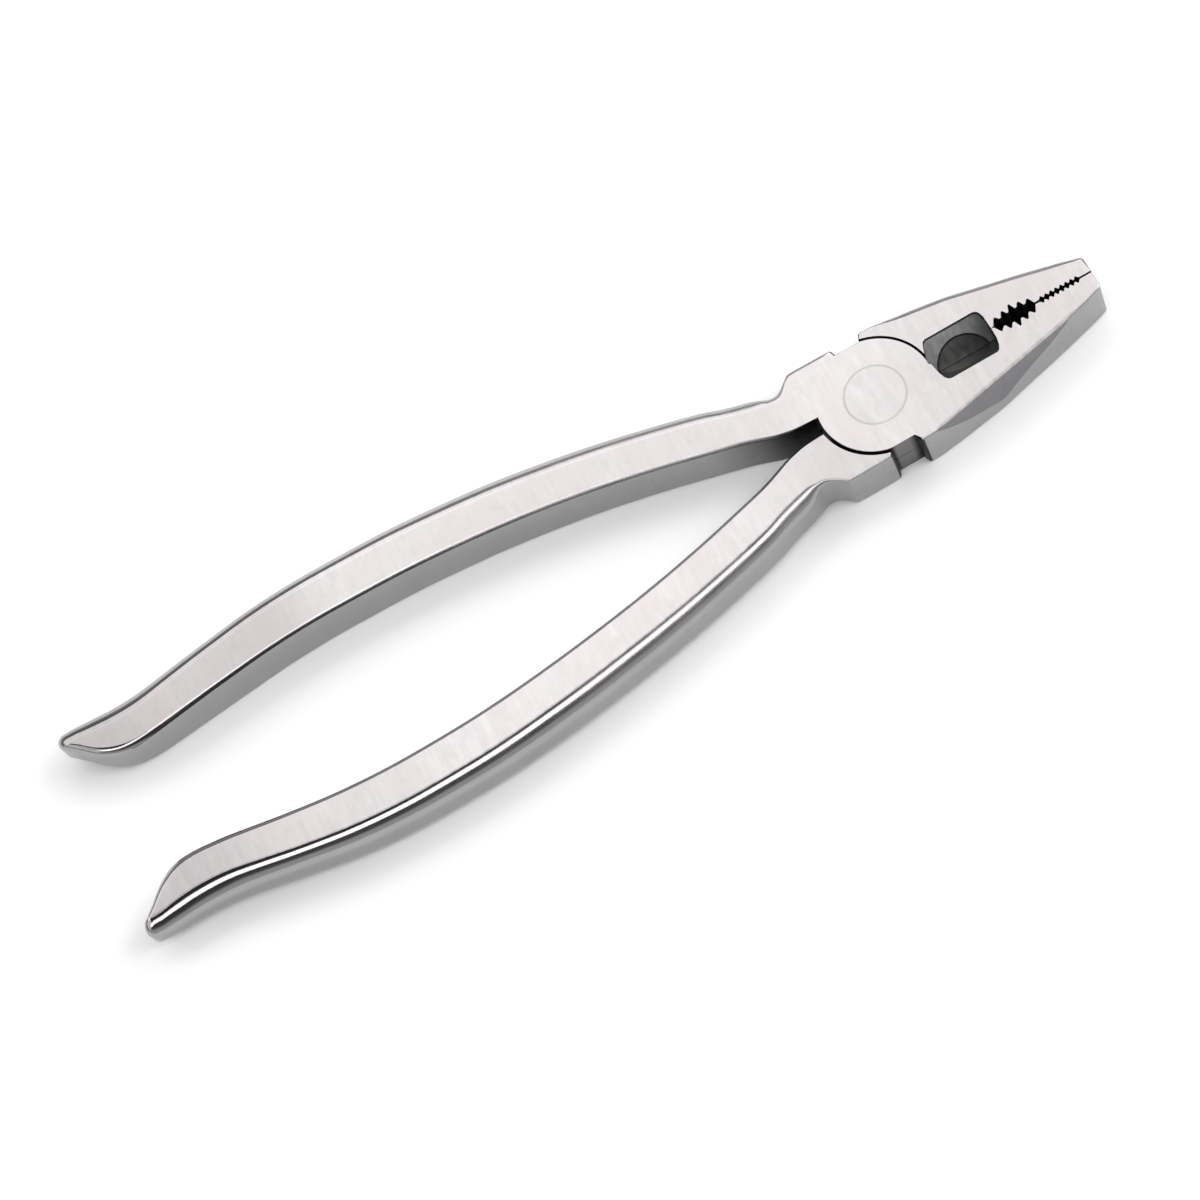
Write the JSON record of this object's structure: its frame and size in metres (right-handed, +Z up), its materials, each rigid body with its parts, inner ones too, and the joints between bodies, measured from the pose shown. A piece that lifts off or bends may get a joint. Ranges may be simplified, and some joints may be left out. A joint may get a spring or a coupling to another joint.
{
  "type": "combination pliers",
  "caption": "All-steel combination pliers: two forged levers on one flush rivet, with flat toothed nose, oval pipe grip, bevelled side cutters and bare curled handles.",
  "frame": {"origin": "pivot axis at the lower flat face, on the rivet's flush lower head", "axes": "+X along the closed jaws to their tips, +Y to the upper jaw, +Z up through the thickness, along the pivot"},
  "size_m": [0.2073, 0.0539, 0.0104],
  "materials": {
    "lower_lever_steel": "satin",
    "upper_lever_steel": "satin",
    "rivet_steel": "satin"
  },
  "bodies": {
    "lower_jaw_half": {"lower_jaw_lever": "lower_lever_steel", "pivot_rivet": "rivet_steel"},
    "upper_jaw_half": {"upper_jaw_lever": "upper_lever_steel"}
  },
  "joints": [
    {"name": "pivot", "type": "hinge", "parent": "lower_jaw_half", "child": "upper_jaw_half", "pos_m": [0, 0, 0.0052], "axis": [0, 0, 1], "range_deg": [0, 22]}
  ]
}
